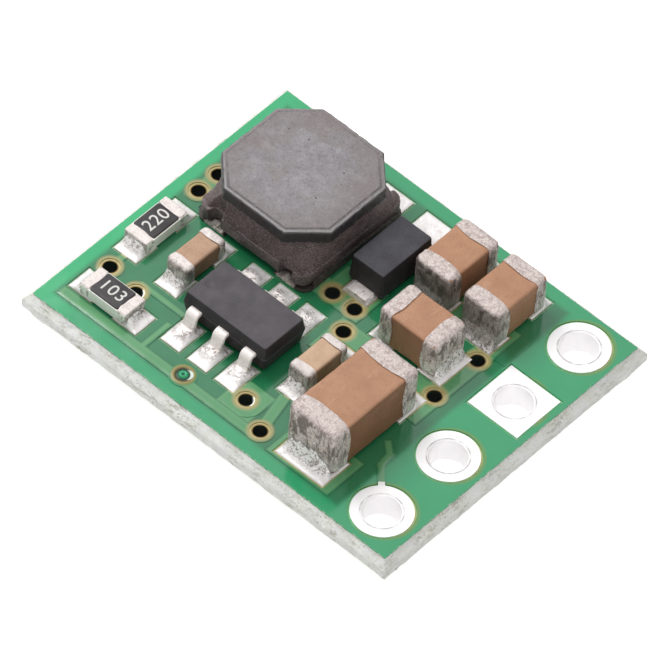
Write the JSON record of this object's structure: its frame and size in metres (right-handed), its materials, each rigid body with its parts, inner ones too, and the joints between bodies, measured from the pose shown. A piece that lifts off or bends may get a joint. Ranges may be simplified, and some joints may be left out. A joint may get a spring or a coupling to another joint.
{
  "type": "buck converter module",
  "caption": "Small green circuit board with a drum-core inductor, a switching regulator and its chip parts, with a row of plated pin holes at one end.",
  "frame": {"origin": "centre of the board's footprint, on its underside", "axes": "+Z towards the component side, +X towards the end with the pin holes, +Y along the row of pin holes"},
  "size_m": [0.0126, 0.0102, 0.0026],
  "materials": {
    "laminate": "sawn glass fibre",
    "copper": "plain foil and wire",
    "solder_mask": "green, semi-gloss",
    "tinned_copper": "tin plated, soft shine",
    "ferrite": "ground grey ferrite",
    "resin": "filled resin",
    "mould": "black epoxy moulding",
    "alumina": "fired white",
    "resistive_film": "fired film",
    "overcoat": "black glaze",
    "metal_end": "tinned, mottled",
    "small_capacitor_ceramic": "pale tan",
    "large_capacitor_ceramic": "brown",
    "solder": "reflowed, bright"
  },
  "bodies": {
    "root": {"printed_board_laminate": "laminate", "top_copper": "copper", "bottom_copper": "copper", "top_solder_mask": "solder_mask", "bottom_solder_mask": "solder_mask", "via_barrels": "copper", "pin_hole_plating_1": "tinned_copper", "pin_hole_plating_2": "tinned_copper", "pin_hole_plating_3": "tinned_copper", "pin_hole_plating_4": "tinned_copper", "inductor_core": "ferrite", "inductor_winding": "copper", "inductor_resin_coat": "resin", "inductor_terminal_left": "tinned_copper", "inductor_terminal_right": "tinned_copper", "regulator_body": "mould", "regulator_lead_1": "tinned_copper", "regulator_lead_2": "tinned_copper", "regulator_lead_3": "tinned_copper", "regulator_lead_4": "tinned_copper", "regulator_lead_5": "tinned_copper", "regulator_lead_6": "tinned_copper", "diode_body": "mould", "diode_tab_front": "tinned_copper", "diode_tab_rear": "tinned_copper", "left_resistor_substrate": "alumina", "left_resistor_film": "resistive_film", "left_resistor_overcoat": "overcoat", "left_resistor_end_front": "metal_end", "left_resistor_end_rear": "metal_end", "front_resistor_substrate": "alumina", "front_resistor_film": "resistive_film", "front_resistor_overcoat": "overcoat", "front_resistor_end_left": "metal_end", "front_resistor_end_right": "metal_end", "boost_capacitor_body": "small_capacitor_ceramic", "boost_capacitor_end_front": "metal_end", "boost_capacitor_end_rear": "metal_end", "small_input_capacitor_body": "small_capacitor_ceramic", "small_input_capacitor_end_front": "metal_end", "small_input_capacitor_end_rear": "metal_end", "large_input_capacitor_body": "large_capacitor_ceramic", "large_input_capacitor_end_front": "metal_end", "large_input_capacitor_end_rear": "metal_end", "output_capacitor_1_body": "large_capacitor_ceramic", "output_capacitor_1_end_left": "metal_end", "output_capacitor_1_end_right": "metal_end", "output_capacitor_2_body": "large_capacitor_ceramic", "output_capacitor_2_end_front": "metal_end", "output_capacitor_2_end_rear": "metal_end", "output_capacitor_3_body": "large_capacitor_ceramic", "output_capacitor_3_end_front": "metal_end", "output_capacitor_3_end_rear": "metal_end", "solder_inductor": "solder", "solder_regulator": "solder", "solder_diode": "solder", "solder_resistors": "solder", "solder_input_capacitors": "solder", "solder_output_capacitors": "solder"}
  },
  "joints": []
}
